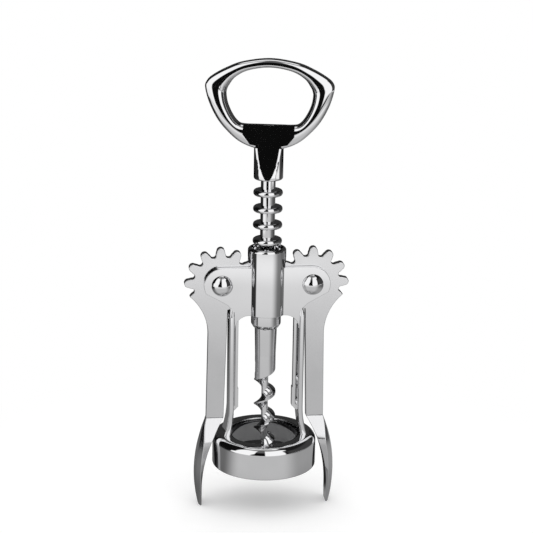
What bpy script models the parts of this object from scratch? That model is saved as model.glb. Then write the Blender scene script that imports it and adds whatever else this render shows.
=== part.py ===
"""Wing corkscrew with a bottle-opener handle.

Two levers hinge on riveted pins between the ears of a cast frame. Each lever ends in a
gear sector, and both sectors mesh with the ring rack on the spindle. Turning the handle
drives the worm and the rack down, and the rack lifts the levers. Pressing the levers
down draws the rack, the worm and the cork back up.

Metres, +Z up, the front faces -Y. The origin lies midway between the lever tips, on the
surface that they stand on.
"""

import math

import bmesh
import bpy
from mathutils import Matrix, Vector

# Clearances shared by all pieces
CLEARANCE = 0.0003
OVERRUN = 0.0020

# Ring rack: rings turned on a spindle, with a collar that holds the worm
RING_PITCH = 0.00655
RING_RADIUS = 0.00583
RING_ROOT_THICKNESS = 0.0030
RING_RIM_THICKNESS = 0.0024
RING_RIM_LENGTH = 0.00115
RING_COUNT = 8
SPINDLE_RADIUS = 0.0029
COLLAR_RADIUS = 0.0060
COLLAR_GAP = 0.0015
COLLAR_LENGTH = 0.0065
COLLAR_CHAMFER_LENGTH = 0.0015
COLLAR_BOTTOM_RADIUS = 0.0050
SOCKET_RADIUS = 0.0024
SOCKET_DEPTH = 0.0050
TANG_LENGTH = 0.0080

# Gear sectors of the levers: the pitch radius follows from the rings' pitch
TOOTH_SPACING_DEG = 29.0
TOOTH_PHASE_DEG = 4.52
TOOTH_WIDTH = 0.0032
TOOTH_ADDENDUM = 0.0018591
TOOTH_DEDENDUM = 0.0018409
TOOTH_COUNT = 8
GEAR_PITCH_RADIUS = RING_PITCH / math.radians(TOOTH_SPACING_DEG)
TOOTH_TIP_RADIUS = GEAR_PITCH_RADIUS + TOOTH_ADDENDUM
TOOTH_ROOT_RADIUS = GEAR_PITCH_RADIUS - TOOTH_DEDENDUM
TOOTH_TIP_GAP = 0.00043
GEAR_RUNNING_GAP = 0.0004

# Pivots of the levers: the teeth reach down to the spindle between its rings
PIVOT_Z = 0.0940
PIVOT_X = SPINDLE_RADIUS + TOOTH_TIP_GAP + TOOTH_TIP_RADIUS
MESH_Z = PIVOT_Z + GEAR_PITCH_RADIUS * math.radians(TOOTH_PHASE_DEG)

# Heights of the rings: the meshing tooth stands in the middle of a gap
MESH_RINGS_SHARE = 1.5
LOWEST_RING_Z = MESH_Z - RING_PITCH * MESH_RINGS_SHARE
TOP_RING_Z = LOWEST_RING_Z + RING_PITCH * (RING_COUNT - 1)
COLLAR_TOP_Z = LOWEST_RING_Z - RING_ROOT_THICKNESS / 2 - COLLAR_GAP
COLLAR_BOTTOM_Z = COLLAR_TOP_Z - COLLAR_LENGTH

# Plastic liner inside the bell
LINER_BORE_RADIUS = 0.0134
LINER_WALL = 0.0008
LINER_TOP_DROP = 0.0009
LINER_LIP_DEPTH = 0.0058
LINER_LIP_RADIUS = 0.0156
LINER_SKIRT_WALL = 0.0023
LINER_LEAD_IN = 0.0008
LINER_RADIUS = LINER_LIP_RADIUS + LINER_SKIRT_WALL

# Bell of the frame, which sits over the bottle's neck
BELL_BOTTOM_Z = 0.0175
BELL_HEIGHT = 0.0133
BELL_SHOULDER = 0.0032
BELL_FOOT_CHAMFER = 0.0006
BELL_WALL = 0.0029
BELL_ROOF = 0.0035
BELL_MOUTH_ROUND = 0.0004
BELL_MOUTH_RADIUS = LINER_BORE_RADIUS + LINER_WALL + CLEARANCE
BELL_CAVITY_RADIUS = LINER_RADIUS + CLEARANCE
BELL_RADIUS = BELL_CAVITY_RADIUS + BELL_WALL
BELL_TOP_Z = BELL_BOTTOM_Z + BELL_HEIGHT

# Barrel of the frame, which guides the rack
BARREL_WALL = 0.0013
BARREL_RISE = 0.0148
BARREL_DROP = 0.0126
BARREL_MOUTH_ROUND = 0.0012
RACK_RUNNING_GAP = 0.00035
BORE_RADIUS = COLLAR_RADIUS + RACK_RUNNING_GAP
BARREL_RADIUS = BORE_RADIUS + BARREL_WALL
BARREL_TOP_Z = PIVOT_Z + BARREL_RISE
BARREL_BOTTOM_Z = PIVOT_Z - BARREL_DROP

# Ears and struts of the frame
EAR_RADIUS = 0.0071
EAR_SHOULDER_INSET = 0.0019
EAR_SHOULDER_DROP = 0.0078
EAR_ARC_RADIUS = 0.0055
FRAME_DEPTH = 0.0082
FRAME_EDGE = 0.0004
STRUT_INSET = 0.00353
STRUT_WIDTH = 0.0018
STRUT_DEPTH = 0.0112
STRUT_ROOT_DEPTH = 0.0070
STRUT_TOP_DROP = 0.0096
STRUT_FULL_DROP = 0.0130
STRUT_LAP = 0.0004
STRUT_BEND_RISE = 0.0120
STRUT_FOOT_WIDTH = 0.0026
STRUT_SINK = 0.0012
RIB_REACH = 0.0019
RIB_THICKNESS = 0.0030
RIB_BOTTOM_RISE = 0.0093
RIB_STEP_RISE = 0.0193
RIB_STEP = 0.0003
STRUT_OUTER_X = PIVOT_X - STRUT_INSET
STRUT_BEND_Z = BELL_TOP_Z + STRUT_BEND_RISE
RIB_BOTTOM_Z = BELL_TOP_Z + RIB_BOTTOM_RISE

# Lever bars, which hang from the pivot and bow out round the bell to paddle-shaped feet
LEVER_THICKNESS = 0.0032
LEVER_SIDE_GAP = 0.0003
LEVER_EDGE = 0.00035
SPUR_RADIUS = 0.0136
SPUR_ANGLE_DEG = -21.6
FLARE_RADIUS = 0.0213
BAR_TOP_DROP = 0.0211
BAR_TOP_OUTSET = 0.00527
BAR_TOP_INSET = 0.00253
KINK_RISE = 0.0067
KINK_OUTSET = 0.0029
KINK_INSET = 0.0042
FOOT_OUTER_OUTSET = 0.0077
FOOT_OUTER_DROP = 0.0032
FOOT_INNER_OUTSET = 0.0046
FOOT_INNER_DROP = 0.0107
KINK_Z = BELL_TOP_Z + KINK_RISE
KINK_OUTER_X = BELL_RADIUS + KINK_OUTSET
KINK_INNER_X = BELL_RADIUS - KINK_INSET
FOOT_OUTER_X = BELL_RADIUS + FOOT_OUTER_OUTSET
FOOT_OUTER_Z = BELL_BOTTOM_Z - FOOT_OUTER_DROP
FOOT_INNER_X = BELL_RADIUS + FOOT_INNER_OUTSET
FOOT_INNER_Z = BELL_BOTTOM_Z - FOOT_INNER_DROP
FOOT_DEPTH = 0.0108
FOOT_TIP_DEPTH = 0.0068

# Rivets that the levers turn on
RIVET_RADIUS = 0.0025
RIVET_HEAD_RADIUS = 0.0042
RIVET_HEAD_HEIGHT = 0.0022

# Worm below the collar: a plain shank that turns into a helical flight
SHANK_TOP_RADIUS = 0.00448
SHANK_RADIUS = 0.00418
GROOVE_FULL_Z = 0.0558
GROOVE_END_Z = 0.0589
WORM_RADIUS = 0.0044
WORM_CORE_RADIUS = 0.00135
WORM_PITCH = 0.0104
WORM_LEFT_EDGE_Z = 0.0429
WORM_TAPER_Z = 0.0273
WORM_TIP_Z = 0.0218
WORM_TIP_RADIUS = 0.00025

# Handle: a loop that opens bottles, on a neck that holds the spindle
NECK_STANDOFF = 0.00536
NECK_RADIUS = 0.0058
NECK_LENGTH = 0.0117
NECK_SINK = 0.0027
NECK_ROUND = 0.0009
HANDLE_TURN_DEG = -11.0
HANDLE_HALF_WIDTH = 0.0249
LOOP_HEIGHT = 0.0357
LOOP_HALF_DEPTH = 0.0039
LOOP_TOP_HALF_DEPTH = 0.0033
LIP_HALF_WIDTH = 0.0100
LIP_HALF_THICKNESS = 0.0012
WAIST_RISE = 0.0017
RECESS_SIDE_DROP = 0.0042
RECESS_SIDE_X = 0.0101
NECK_BOTTOM_Z = TOP_RING_Z + NECK_STANDOFF
NECK_TOP_Z = NECK_BOTTOM_Z + NECK_LENGTH
HANDLE_TOP_Z = NECK_TOP_Z + LOOP_HEIGHT

# Facets
TURNED_STEPS = 28
RACK_STEPS = 24
RIVET_STEPS = 16
BELL_STEPS = 40
POCKET_STEPS = 40

# Half outline of the handle's loop, from the top round to the neck, as shares of the
# half width and of the loop's height below the top: outer x, outer z, inner x, inner z
LOOP_SHARES = (
    (0.000, 0.000, 0.000, 0.095),
    (0.425, 0.041, 0.330, 0.130),
    (0.685, 0.112, 0.535, 0.207),
    (0.895, 0.196, 0.632, 0.295),
    (0.988, 0.260, 0.666, 0.345),
    (1.000, 0.335, 0.674, 0.400),
    (0.932, 0.497, 0.645, 0.505),
    (0.805, 0.667, 0.562, 0.627),
    (0.643, 0.801, 0.466, 0.703),
    (0.458, 0.908, 0.360, 0.717),
    (0.240, 0.972, 0.190, 0.717),
    (0.000, 1.000, 0.000, 0.717),
)
LIP_SHARE = LOOP_SHARES[-1][3]
LIP_Z = HANDLE_TOP_Z - LOOP_HEIGHT * LIP_SHARE
LOOP_SUBSTEPS = 3
LOOP_SECTION_STEPS = 12

# Roundness of the rings' rims, 1 for an ellipse and less for squarer
RIM_ROUNDNESS_SHARE = 0.86

# Share of the loop's height over which it thickens from its top
LOOP_SWELL_SHARE = 0.26

# Foot sections down the paddle: height share, depth share, share of the width from the
# inner face at which the front ridge runs, and depth share of the inner edge
FOOT_SECTION_SHARES = (
    (0.93, 0.46, 0.92, 1.00),
    (0.85, 0.66, 0.78, 0.97),
    (0.74, 0.94, 0.58, 0.90),
    (0.60, 1.00, 0.46, 0.80),
    (0.44, 1.00, 0.34, 0.72),
    (0.28, 0.98, 0.26, 0.70),
    (0.14, 0.90, 0.25, 0.70),
    (0.05, 0.77, 0.28, 0.74),
)
FOOT_TIP_RIDGE_SHARE = 0.30
FOOT_TIP_INNER_SHARE = 0.90
FOOT_SHOULDER_WIDTH_SHARE = 0.75
FOOT_SHOULDER_DEPTH_SHARE = 0.60

# Points across the valley between two teeth, as shares of its half width
VALLEY_SHARES = (-1, -0.5, 0.5, 1)

# Share of the tooth spacing that the last valley takes up before the plain root
LAST_VALLEY_SHARE = 0.8

# Angles from the flight's crest at which the worm's section has its points
FLIGHT_ANGLES_DEG = (0, 6, 14, 26, 42, 62, 86, 116, 148, 180)
FLIGHT_FOOT_DEG = 125.0
FLIGHT_HOLLOW_POWER = 2
WORM_BLUNTNESS_SHARE = 0.75
WORM_ROWS_PER_TURN = 10


def clear_scene():
    for item in list(bpy.data.objects):
        bpy.data.objects.remove(item, do_unlink=True)


def make_material(name, colour, roughness, metallic):
    material = bpy.data.materials.new(name)
    material.use_nodes = True
    shader = material.node_tree.nodes["Principled BSDF"]
    shader.inputs["Base Color"].default_value = (*colour, 1.0)
    shader.inputs["Roughness"].default_value = roughness
    shader.inputs["Metallic"].default_value = metallic
    return material


def add_object(name, mesh_source, material=None, parent=None):
    """Turn a bmesh in world coordinates into an object, hung on its parent's place."""
    bmesh.ops.recalc_face_normals(mesh_source, faces=mesh_source.faces)
    mesh = bpy.data.meshes.new(name)
    if parent is not None:
        bmesh.ops.translate(mesh_source, verts=mesh_source.verts, vec=-parent.location)
    mesh_source.to_mesh(mesh)
    mesh_source.free()
    item = bpy.data.objects.new(name, mesh)
    bpy.context.collection.objects.link(item)
    if parent is not None:
        item.parent = parent
    if material is not None:
        mesh.materials.append(material)
        mesh.shade_smooth()
        mesh.set_sharp_from_angle(angle=math.radians(35.0))
    return item


def add_axis(name, location):
    """An empty that marks a joint's axis and carries the pieces that move on it."""
    axis = bpy.data.objects.new(name, None)
    axis.location = location
    bpy.context.collection.objects.link(axis)
    return axis


def arc(centre_x, centre_z, radius, start_deg, end_deg, count):
    """Points along a circle in the XZ plane, both ends included."""
    points = []
    for step in range(count + 1):
        angle = math.radians(start_deg + (end_deg - start_deg) * step / count)
        points.append((centre_x + radius * math.cos(angle), centre_z + radius * math.sin(angle)))
    return points


def prism(outline, half_depth, edge=0.0):
    """Extrude an XZ outline from -half_depth to +half_depth, with its rims bevelled."""
    body = bmesh.new()
    front = [body.verts.new((x, -half_depth, z)) for x, z in outline]
    face = body.faces.new(front)
    made = bmesh.ops.extrude_face_region(body, geom=[face])
    moved = [part for part in made["geom"] if isinstance(part, bmesh.types.BMVert)]
    bmesh.ops.translate(body, verts=moved, vec=(0.0, 2 * half_depth, 0.0))
    bmesh.ops.recalc_face_normals(body, faces=body.faces)
    if edge > 0.0:
        rims = [line for line in body.edges if line.verts[0].co.y == line.verts[1].co.y]
        bmesh.ops.bevel(body, geom=rims, offset=edge, segments=1, affect="EDGES", clamp_overlap=True)
    return body


def revolve(profile, steps, closed=False):
    """Turn a profile of (radius, z) points about the Z axis."""
    body = bmesh.new()
    line = [body.verts.new((radius, 0.0, z)) for radius, z in profile]
    pairs = list(zip(line[:-1], line[1:]))
    if closed:
        pairs.append((line[-1], line[0]))
    edges = [body.edges.new(pair) for pair in pairs]
    bmesh.ops.spin(
        body, geom=line + edges, cent=(0, 0, 0), axis=(0, 0, 1), angle=2 * math.pi, steps=steps,
        use_merge=True, use_duplicate=False,
    )
    bmesh.ops.remove_doubles(body, verts=body.verts, dist=CLEARANCE / 100)
    return body


def turn_to_y(body, centre_x, centre_z, sign=1):
    """Lay a body that was turned about Z along Y, at the given place."""
    for vert in body.verts:
        x, y, z = vert.co
        vert.co = Vector((centre_x + x, sign * z, centre_z - sign * y))
    return body


def skin(sections):
    """Join closed sections of equal length into one body with flat ends."""
    body = bmesh.new()
    rings = [[body.verts.new(point) for point in section] for section in sections]
    count = len(rings[0])
    for lower, upper in zip(rings[:-1], rings[1:]):
        for index in range(count):
            after = (index + 1) % count
            body.faces.new((lower[index], lower[after], upper[after], upper[index]))
    body.faces.new(rings[0])
    body.faces.new(rings[-1])
    return body


def use_boolean(target, operands, operation):
    """Join several forms to the target, or cut them from it, in one step."""
    group = bpy.data.collections.new(target.name + "_" + operation.lower())
    for operand in operands:
        group.objects.link(operand)
        operand.hide_render = True
        operand.display_type = "WIRE"
    modifier = target.modifiers.new(group.name, "BOOLEAN")
    modifier.operation = operation
    modifier.solver = "EXACT"
    modifier.operand_type = "COLLECTION"
    modifier.collection = group


def mirror_x(points):
    return [(-x, z) for x, z in reversed(points)]


def smooth_through(points, substeps):
    """Points of a Catmull-Rom curve through a closed list of tuples."""
    count = len(points)
    result = []
    for index in range(count):
        before, start, end, after = (points[(index + shift) % count] for shift in (-1, 0, 1, 2))
        for step in range(substeps):
            t = step / substeps
            result.append(tuple(
                0.5 * (2 * b + (c - a) * t + (2 * a - 5 * b + 4 * c - d) * t ** 2
                       + (3 * b - a - 3 * c + d) * t ** 3)
                for a, b, c, d in zip(before, start, end, after)
            ))
    return result


# Frame casting


def bell_profile():
    """Closed half section of the bell, from its foot up over the shoulder and back inside."""
    cavity = BELL_CAVITY_RADIUS
    roof_z = BELL_TOP_Z - BELL_ROOF
    profile = [(cavity, BELL_BOTTOM_Z), (BELL_RADIUS - BELL_FOOT_CHAMFER, BELL_BOTTOM_Z)]
    profile.append((BELL_RADIUS, BELL_BOTTOM_Z + BELL_FOOT_CHAMFER))
    profile += arc(BELL_RADIUS - BELL_SHOULDER, BELL_TOP_Z - BELL_SHOULDER, BELL_SHOULDER, 0, 90, 6)
    mouth = BELL_MOUTH_RADIUS + BELL_MOUTH_ROUND
    profile += arc(mouth, BELL_TOP_Z - BELL_MOUTH_ROUND, BELL_MOUTH_ROUND, 90, 180, 2)
    profile += [(BELL_MOUTH_RADIUS, roof_z), (cavity, roof_z)]
    return profile


def strut_curve(x, foot_x):
    """A strut's side from the bend down to the bell, swept outwards to the foot."""
    foot_z = BELL_TOP_Z - STRUT_SINK
    drop = STRUT_BEND_Z - foot_z
    points = []
    for step in range(6):
        share = step / 5
        points.append((x + (foot_x - x) * share ** 2, STRUT_BEND_Z - drop * share))
    return points


def strut_body(side):
    """A strut's flange, deeper than the ears, from inside the ear down to its foot on the bell."""
    inner_x = STRUT_OUTER_X - STRUT_WIDTH
    outer_line = strut_curve(STRUT_OUTER_X, BELL_MOUTH_RADIUS + STRUT_FOOT_WIDTH)
    inner_line = strut_curve(inner_x, BELL_MOUTH_RADIUS)
    full_z = PIVOT_Z - STRUT_FULL_DROP
    levels = [(inner_x, STRUT_OUTER_X, PIVOT_Z - STRUT_TOP_DROP, STRUT_ROOT_DEPTH / 2)]
    levels.append((inner_x, STRUT_OUTER_X, full_z, STRUT_DEPTH / 2))
    for (outer, z), (inner, _) in zip(outer_line, inner_line):
        levels.append((inner, outer, z, STRUT_DEPTH / 2))
    sections = []
    for inner, outer, z, half in levels:
        corner = half - FRAME_EDGE
        low, high = inner + FRAME_EDGE, outer - FRAME_EDGE
        ring = [(low, -half), (high, -half), (outer, -corner), (outer, corner)]
        ring += [(high, half), (low, half), (inner, corner), (inner, -corner)]
        sections.append([(side * x, y, z) for x, y in ring])
    return skin(sections)


def arms_outline():
    """Front outline of both ears, joined across the barrel and ending inside the struts."""
    inner_x = STRUT_OUTER_X - STRUT_WIDTH
    ear_arc_x = inner_x - EAR_ARC_RADIUS
    arc_z = BARREL_BOTTOM_Z - EAR_ARC_RADIUS
    right = arc(PIVOT_X, PIVOT_Z, EAR_RADIUS, 90, -27, 9)
    shoulder_x = PIVOT_X - EAR_SHOULDER_INSET
    shoulder_z = PIVOT_Z - EAR_SHOULDER_DROP
    lap_x = STRUT_OUTER_X - STRUT_LAP
    right.append((shoulder_x, shoulder_z))
    right.append((lap_x, shoulder_z - (shoulder_x - lap_x)))
    right += [(lap_x, arc_z - STRUT_WIDTH), (inner_x + STRUT_LAP, arc_z - STRUT_WIDTH)]
    right.append((inner_x + STRUT_LAP, arc_z))
    right += arc(ear_arc_x, arc_z, EAR_ARC_RADIUS, 0, 90, 6)
    return right + mirror_x(right)


def rib_outline(side):
    """The rib that stiffens a strut towards the worm, with a slanted lower end."""
    outer = STRUT_OUTER_X - STRUT_WIDTH / 2
    inner = STRUT_OUTER_X - STRUT_WIDTH - RIB_REACH
    top = BARREL_BOTTOM_Z
    step_z = BELL_TOP_Z + RIB_STEP_RISE
    points = [(inner + RIB_STEP, top), (inner + RIB_STEP, step_z), (inner, step_z - RIB_STEP)]
    points += [(inner, RIB_BOTTOM_Z + RIB_REACH), (inner + RIB_REACH, RIB_BOTTOM_Z)]
    points += [(outer, RIB_BOTTOM_Z), (outer, top)]
    return [(side * x, z) for x, z in points]


def barrel_profile():
    profile = [(0, BARREL_BOTTOM_Z), (BARREL_RADIUS, BARREL_BOTTOM_Z)]
    centre = BARREL_RADIUS - BARREL_MOUTH_ROUND
    profile += arc(centre, BARREL_TOP_Z - BARREL_MOUTH_ROUND, BARREL_MOUTH_ROUND, 0, 90, 4)
    profile.append((0, BARREL_TOP_Z))
    return profile


def cylinder_profile(radius, low, high):
    return [(0, low), (radius, low), (radius, high), (0, high)]


def make_frame(metal):
    frame = add_object("frame", revolve(bell_profile(), BELL_STEPS, closed=True), metal)
    forms = [
        add_object("arms_form", prism(arms_outline(), FRAME_DEPTH / 2, FRAME_EDGE)),
        add_object("barrel_form", revolve(barrel_profile(), TURNED_STEPS)),
    ]
    bore = cylinder_profile(BORE_RADIUS, BARREL_BOTTOM_Z - OVERRUN, BARREL_TOP_Z + OVERRUN)
    cutters = [add_object("bore_cutter", revolve(bore, TURNED_STEPS))]
    pocket_radius = TOOTH_TIP_RADIUS + GEAR_RUNNING_GAP
    pocket_half = LEVER_THICKNESS / 2 + LEVER_SIDE_GAP
    hole_half = FRAME_DEPTH / 2 + OVERRUN
    for side, label in ((-1, "left"), (1, "right")):
        forms.append(add_object(label + "_rib_form", prism(rib_outline(side), RIB_THICKNESS / 2)))
        forms.append(add_object(label + "_strut_form", strut_body(side)))
        pocket = revolve(cylinder_profile(pocket_radius, -pocket_half, pocket_half), POCKET_STEPS)
        turn_to_y(pocket, side * PIVOT_X, PIVOT_Z)
        cutters.append(add_object(label + "_gear_cutter", pocket))
        hole = revolve(cylinder_profile(RIVET_RADIUS + CLEARANCE, -hole_half, hole_half), RIVET_STEPS)
        turn_to_y(hole, side * PIVOT_X, PIVOT_Z)
        cutters.append(add_object(label + "_rivet_cutter", hole))
    use_boolean(frame, forms, "UNION")
    use_boolean(frame, cutters, "DIFFERENCE")


def make_liner(plastic):
    """The ring that centres the bottle's neck, with the stop for the bottle's lip."""
    roof_z = BELL_TOP_Z - BELL_ROOF - CLEARANCE
    sleeve = LINER_BORE_RADIUS + LINER_WALL
    bottom_z = BELL_BOTTOM_Z + CLEARANCE
    stop_z = BELL_BOTTOM_Z + LINER_LIP_DEPTH
    top_z = BELL_TOP_Z - LINER_TOP_DROP
    profile = [
        (LINER_BORE_RADIUS, stop_z),
        (LINER_LIP_RADIUS, stop_z),
        (LINER_LIP_RADIUS, bottom_z + LINER_LEAD_IN),
        (LINER_LIP_RADIUS + LINER_LEAD_IN, bottom_z),
        (LINER_RADIUS, bottom_z),
        (LINER_RADIUS, roof_z),
        (sleeve, roof_z),
        (sleeve, top_z - LINER_WALL / 2),
        (sleeve - LINER_WALL / 2, top_z),
        (LINER_BORE_RADIUS, top_z),
    ]
    add_object("bell_liner", revolve(profile, BELL_STEPS, closed=True), plastic)


# Rack


def ring_profile(centre_z):
    """Half section of one ring, from its upper root round the rim to its lower root."""
    rim_start = RING_RADIUS - RING_RIM_LENGTH
    points = [(SPINDLE_RADIUS, centre_z + RING_ROOT_THICKNESS / 2)]
    for step in range(5):
        angle = math.radians(90 - 45 * step)
        reach = abs(math.cos(angle)) ** RIM_ROUNDNESS_SHARE
        rise = math.copysign(abs(math.sin(angle)) ** RIM_ROUNDNESS_SHARE, math.sin(angle))
        radius = rim_start + RING_RIM_LENGTH * reach
        points.append((radius, centre_z + RING_RIM_THICKNESS / 2 * rise))
    points.append((SPINDLE_RADIUS, centre_z - RING_ROOT_THICKNESS / 2))
    return points


def make_rack(metal, axis):
    tang_top_z = NECK_BOTTOM_Z + TANG_LENGTH
    profile = [(0, tang_top_z), (SPINDLE_RADIUS, tang_top_z)]
    for index in range(RING_COUNT):
        profile += ring_profile(TOP_RING_Z - RING_PITCH * index)
    profile += [
        (SPINDLE_RADIUS, COLLAR_TOP_Z),
        (COLLAR_RADIUS, COLLAR_TOP_Z),
        (COLLAR_RADIUS, COLLAR_BOTTOM_Z + COLLAR_CHAMFER_LENGTH),
        (COLLAR_BOTTOM_RADIUS, COLLAR_BOTTOM_Z),
        (SOCKET_RADIUS, COLLAR_BOTTOM_Z),
        (SOCKET_RADIUS, COLLAR_BOTTOM_Z + SOCKET_DEPTH),
        (0, COLLAR_BOTTOM_Z + SOCKET_DEPTH),
    ]
    add_object("rack_spindle", revolve(profile, RACK_STEPS), metal, axis)


# Levers


def tooth_points(angle_deg):
    """One tooth with parallel flanks and a round tip, and the valley that follows it."""
    half = TOOTH_WIDTH / 2
    angle = math.radians(angle_deg)
    spacing = math.radians(TOOTH_SPACING_DEG)
    points = []
    for radius, across_deg in ((TOOTH_TIP_RADIUS - half, step) for step in (-90, -45, 0, 45, 90)):
        across = math.radians(across_deg)
        out = radius + half * math.cos(across)
        side = half * math.sin(across)
        points.append((out * math.cos(angle) - side * math.sin(angle),
                       out * math.sin(angle) + side * math.cos(angle)))
    valley_angle = angle + spacing / 2
    valley_radius = TOOTH_ROOT_RADIUS * math.sin(spacing / 2) - half * math.cos(spacing / 2)
    for share in VALLEY_SHARES:
        out = TOOTH_ROOT_RADIUS + valley_radius * share ** 2
        side = valley_radius * share
        points.append((out * math.cos(valley_angle) - side * math.sin(valley_angle),
                       out * math.sin(valley_angle) + side * math.cos(valley_angle)))
    return points


def tooth_angles():
    """Angles of the right lever's teeth about its pivot, from the outermost to the innermost."""
    innermost = 180.0 - TOOTH_PHASE_DEG + TOOTH_SPACING_DEG
    return [innermost - TOOTH_SPACING_DEG * index for index in reversed(range(TOOTH_COUNT))]


def lever_outline():
    """Front outline of the right lever down to the kink, anticlockwise from its outer side."""
    spur = math.radians(SPUR_ANGLE_DEG)
    spur_x = PIVOT_X + SPUR_RADIUS * math.cos(spur)
    spur_z = PIVOT_Z + SPUR_RADIUS * math.sin(spur)
    bar_top_z = PIVOT_Z - BAR_TOP_DROP
    flare_centre_x = PIVOT_X + BAR_TOP_OUTSET + FLARE_RADIUS
    flare_top_deg = 180 - math.degrees(math.asin((spur_z - bar_top_z) / FLARE_RADIUS))
    outline = [(KINK_OUTER_X, KINK_Z)]
    outline += arc(flare_centre_x, bar_top_z, FLARE_RADIUS, 180, flare_top_deg, 8)
    angles = tooth_angles()
    valley = tooth_points(angles[0] - TOOTH_SPACING_DEG)[-4:]
    teeth = list(valley)
    for angle_deg in angles:
        teeth += tooth_points(angle_deg)
    outline += [(PIVOT_X + x, PIVOT_Z + z) for x, z in teeth]
    inner_end_deg = 360 - math.degrees(math.acos(-BAR_TOP_INSET / TOOTH_ROOT_RADIUS))
    inner_start_deg = angles[-1] + TOOTH_SPACING_DEG * LAST_VALLEY_SHARE
    outline += arc(PIVOT_X, PIVOT_Z, TOOTH_ROOT_RADIUS, inner_start_deg, inner_end_deg, 4)
    outline.append((KINK_INNER_X, KINK_Z))
    return outline


def arc_x(z, extreme_x, extreme_z, kink_x):
    """The x at height z of an arc that is farthest out at the extreme and passes the kink."""
    sag = extreme_x - kink_x
    rise = KINK_Z - extreme_z
    radius = (sag ** 2 + rise ** 2) / (2 * sag)
    return extreme_x - radius + math.sqrt(radius ** 2 - (z - extreme_z) ** 2)


def foot_section(z, half_depth, ridge_share, inner_share):
    """Seven points round the right paddle at one height, from the inner front edge."""
    inner = arc_x(max(z, FOOT_INNER_Z), FOOT_INNER_X, FOOT_INNER_Z, KINK_INNER_X)
    outer = arc_x(z, FOOT_OUTER_X, FOOT_OUTER_Z, KINK_OUTER_X)
    ridge = inner + (outer - inner) * ridge_share
    shoulder = ridge + (outer - ridge) * FOOT_SHOULDER_WIDTH_SHARE
    front = [
        (inner, -half_depth * inner_share),
        (ridge, -half_depth),
        (shoulder, -half_depth * FOOT_SHOULDER_DEPTH_SHARE),
    ]
    back = [(x, -y) for x, y in reversed(front)]
    return [(x, y, z) for x, y in front + [(outer, 0.0)] + back]


def lever_body():
    """The right lever: a flat plate to the kink, then a skinned paddle."""
    body = prism(lever_outline(), LEVER_THICKNESS / 2)
    end = [face for face in body.faces
           if all(abs(vert.co.z - KINK_Z) < CLEARANCE / 10 for vert in face.verts)]
    bmesh.ops.delete(body, geom=end, context="FACES_ONLY")
    rim = [edge for edge in body.edges if edge.is_boundary]
    sections = [
        foot_section(KINK_Z * height, FOOT_DEPTH / 2 * depth, ridge, inner)
        for height, depth, ridge, inner in FOOT_SECTION_SHARES
    ]
    tip_depth = FOOT_TIP_DEPTH / 2
    sections.append(foot_section(0.0, tip_depth, FOOT_TIP_RIDGE_SHARE, FOOT_TIP_INNER_SHARE))
    for section in sections:
        ring = [body.verts.new(point) for point in section]
        loop = [body.edges.new((ring[index - 1], ring[index])) for index in range(len(ring))]
        bmesh.ops.bridge_loops(body, edges=rim + loop)
        rim = loop
    body.faces.new(ring)
    bmesh.ops.recalc_face_normals(body, faces=body.faces)
    flat_rims = []
    for edge in body.edges:
        low, high = (vert.co for vert in edge.verts)
        if low.y == high.y and min(low.z, high.z) > KINK_Z + CLEARANCE:
            flat_rims.append(edge)
    bmesh.ops.bevel(
        body, geom=flat_rims, offset=LEVER_EDGE, segments=1, affect="EDGES", clamp_overlap=True,
    )
    return body


def make_levers(metal, axes):
    hole_half = LEVER_THICKNESS / 2 + OVERRUN
    for side, label in ((-1, "left"), (1, "right")):
        body = lever_body()
        for vert in body.verts:
            vert.co.x *= side
        lever = add_object(label + "_lever", body, metal, axes[label])
        hole = revolve(cylinder_profile(RIVET_RADIUS + CLEARANCE, -hole_half, hole_half), RIVET_STEPS)
        turn_to_y(hole, side * PIVOT_X, PIVOT_Z)
        use_boolean(lever, [add_object(label + "_pivot_cutter", hole)], "DIFFERENCE")


def make_rivets(metal):
    """Pins with a domed head on both faces of the ears."""
    seat = FRAME_DEPTH / 2 + CLEARANCE
    dome_radius = (RIVET_HEAD_RADIUS ** 2 + RIVET_HEAD_HEIGHT ** 2) / (2 * RIVET_HEAD_HEIGHT)
    dome_deg = math.degrees(math.asin(RIVET_HEAD_RADIUS / dome_radius))
    crown = arc(0.0, seat + RIVET_HEAD_HEIGHT - dome_radius, dome_radius, 90, 90 - dome_deg, 4)
    crown[0] = (0.0, crown[0][1])
    half = crown + [(RIVET_RADIUS, seat)]
    profile = half + [(radius, -z) for radius, z in reversed(half)]
    for side, label in ((-1, "left"), (1, "right")):
        body = turn_to_y(revolve(profile, RIVET_STEPS), side * PIVOT_X, PIVOT_Z)
        add_object(label + "_rivet", body, metal)


# Worm


def flight_radius(angle_deg):
    """Radius of the full worm's section at an angle from the flight's crest."""
    share = max(0.0, 1.0 - abs(angle_deg) / FLIGHT_FOOT_DEG)
    return WORM_CORE_RADIUS + (WORM_RADIUS - WORM_CORE_RADIUS) * share ** FLIGHT_HOLLOW_POWER


def groove_lift(valley_z):
    """How far the groove's floor has risen where it runs out into the shank."""
    share = (valley_z - GROOVE_FULL_Z) / (GROOVE_END_Z - GROOVE_FULL_Z)
    return (WORM_RADIUS - WORM_CORE_RADIUS) * min(1.0, max(0.0, share))


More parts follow.
